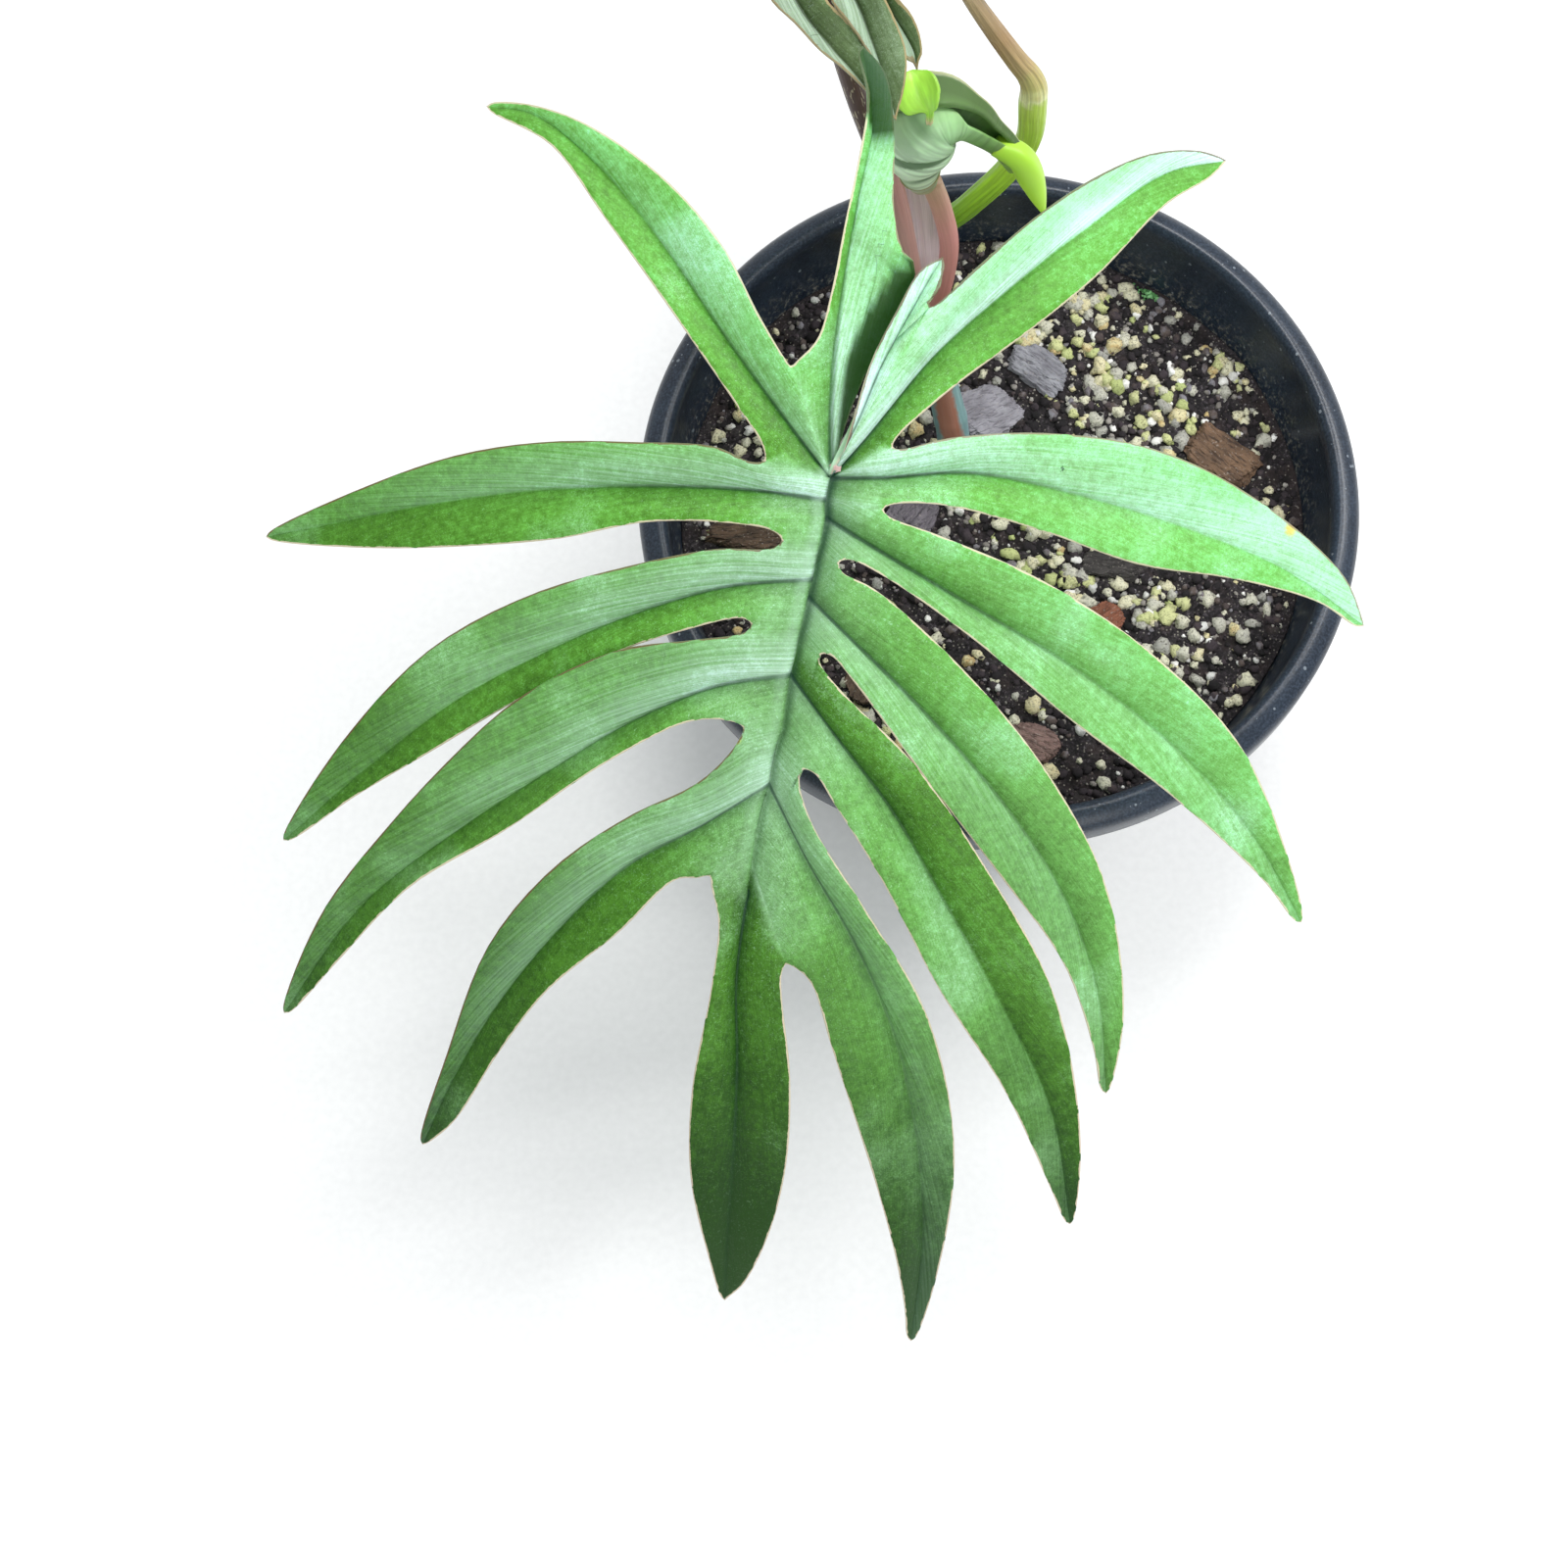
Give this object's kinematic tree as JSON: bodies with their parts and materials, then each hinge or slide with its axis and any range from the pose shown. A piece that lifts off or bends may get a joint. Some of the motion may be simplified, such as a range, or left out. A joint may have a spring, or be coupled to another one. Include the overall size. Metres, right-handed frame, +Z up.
{
  "type": "potted plant",
  "caption": "Potted philodendron mayoi: a large deeply cut leaf on a long stalk, an older leaf, a rolled young leaf and an ageing stalk in a round nursery pot of bark and perlite mix",
  "frame": {"origin": "centre of the pot's flat base", "axes": "+Z up, -Y toward the viewer of the picture, +X to the viewer's right; the large leaf leans to -Y"},
  "size_m": [0.2861, 0.4142, 0.2985],
  "materials": {
    "pot_plastic": "blue-black nursery plastic, satin with a soft sheen on the rolled lip",
    "potting_mix": "dark damp peat with white and cream perlite grains",
    "bark": "rough dry bark, grey to brown",
    "stem": "blue-green fleshy stem with a reddish slit",
    "leaf_green": "mid-green blade with dark sunken veins, pale sheen and thin tan margin",
    "leaf_olive": "olive-green older blade",
    "leaf_young": "pale mint young blade",
    "leaf_bright": "bright yellow-green new growth",
    "petiole_green": "green stalk",
    "petiole_burgundy": "dark burgundy stalk with pale streaks",
    "petiole_red": "red-pink stalk",
    "petiole_ageing": "lime green stalk that turns dry and tan past its knee",
    "sheath": "thin papery lilac-grey sheath"
  },
  "bodies": {
    "root": {"pot": "pot_plastic", "soil": "potting_mix", "bark_grey_left": "bark", "bark_grey_right": "bark", "bark_plum": "bark", "bark_brown": "bark", "bark_dark": "bark", "bark_red": "bark", "bark_pink": "bark", "bark_fibrous": "bark", "bark_under_leaf": "bark", "bark_front": "bark", "bark_back": "bark", "stem": "stem", "main_petiole": "petiole_green", "main_leaf": "leaf_green", "older_petiole": "petiole_burgundy", "older_leaf": "leaf_olive", "young_petiole": "petiole_red", "young_leaf": "leaf_young", "new_tip": "leaf_bright", "ageing_petiole": "petiole_ageing", "cataphyll": "sheath"}
  },
  "joints": []
}
